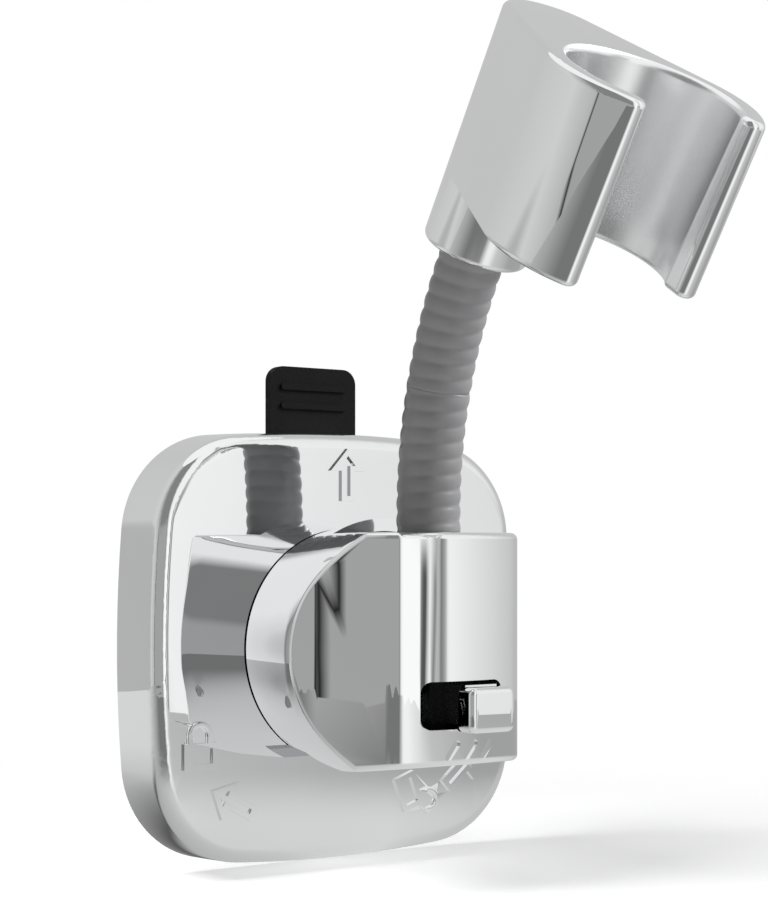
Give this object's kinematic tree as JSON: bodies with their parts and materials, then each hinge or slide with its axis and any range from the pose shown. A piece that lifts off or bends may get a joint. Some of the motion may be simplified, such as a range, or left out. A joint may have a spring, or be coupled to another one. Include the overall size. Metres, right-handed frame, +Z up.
{
  "type": "hand shower holder",
  "caption": "Suction-mounted wall holder for a hand shower: a lever knob on a chromed cover pulls the cup tight, and a bendable gooseneck carries an open conical cradle.",
  "frame": {"origin": "centre of the suction cup's face on the wall", "axes": "+Y into the wall, -Y towards the user, +Z up, +X to the user's right"},
  "size_m": [0.068, 0.0905, 0.1229],
  "materials": {
    "chrome": "mirror-bright plate on ABS",
    "black_rubber": "satin moulded rubber",
    "grey_pvc": "satin flexible PVC",
    "black_plastic": "matt moulded",
    "white_plastic": "matt low-friction",
    "steel": "bright stainless",
    "brass": "turned"
  },
  "bodies": {
    "base": {"suction_cup": "black_rubber", "cover": "chrome", "pressure_ring": "black_plastic", "cover_screws": "steel", "slip_washer": "white_plastic"},
    "stud": {"cup_stud": "steel", "cross_pin": "steel"},
    "knob": {"knob_housing": "chrome", "knob_core": "black_plastic", "knob_screws": "steel", "cam_ring": "black_plastic", "side_pin": "steel", "neck_ferrule": "brass", "neck_nut": "brass", "leaf_spring": "steel"},
    "neck": {"neck_core": "steel", "neck_sleeve": "grey_pvc"},
    "head": {"cradle": "chrome", "head_ferrule": "brass", "cradle_pin": "steel"},
    "catch": {"catch_button": "chrome", "catch_slide": "black_plastic"}
  },
  "joints": [
    {"name": "knob_turn", "type": "hinge", "parent": "base", "child": "knob", "pos_m": [0, 0, 0], "axis": [0, -1, 0], "range_deg": [0, 90]},
    {"name": "stud_pull", "type": "slide", "parent": "base", "child": "stud", "axis": [0, 1, 0], "range_m": [0, 0.0016]},
    {"name": "neck_bend", "type": "hinge", "parent": "knob", "child": "neck", "pos_m": [0, -0.0342, 0.028], "axis": [1, 0, 0], "range_deg": [-35, 35], "deforming": ["neck_sleeve", "neck_core"]},
    {"name": "neck_sway", "type": "hinge", "parent": "neck", "child": "head", "pos_m": [0, -0.0407, 0.05], "axis": [0, -1, 0], "range_deg": [-35, 35], "deforming": ["neck_sleeve", "neck_core"]},
    {"name": "catch_slide", "type": "slide", "parent": "knob", "child": "catch", "axis": [-1, 0, 0], "range_m": [0, 0.0046]}
  ],
  "couplings": [
    {"joint": "stud_pull", "follows": "knob_turn", "m_per_rad": 0.001}
  ]
}
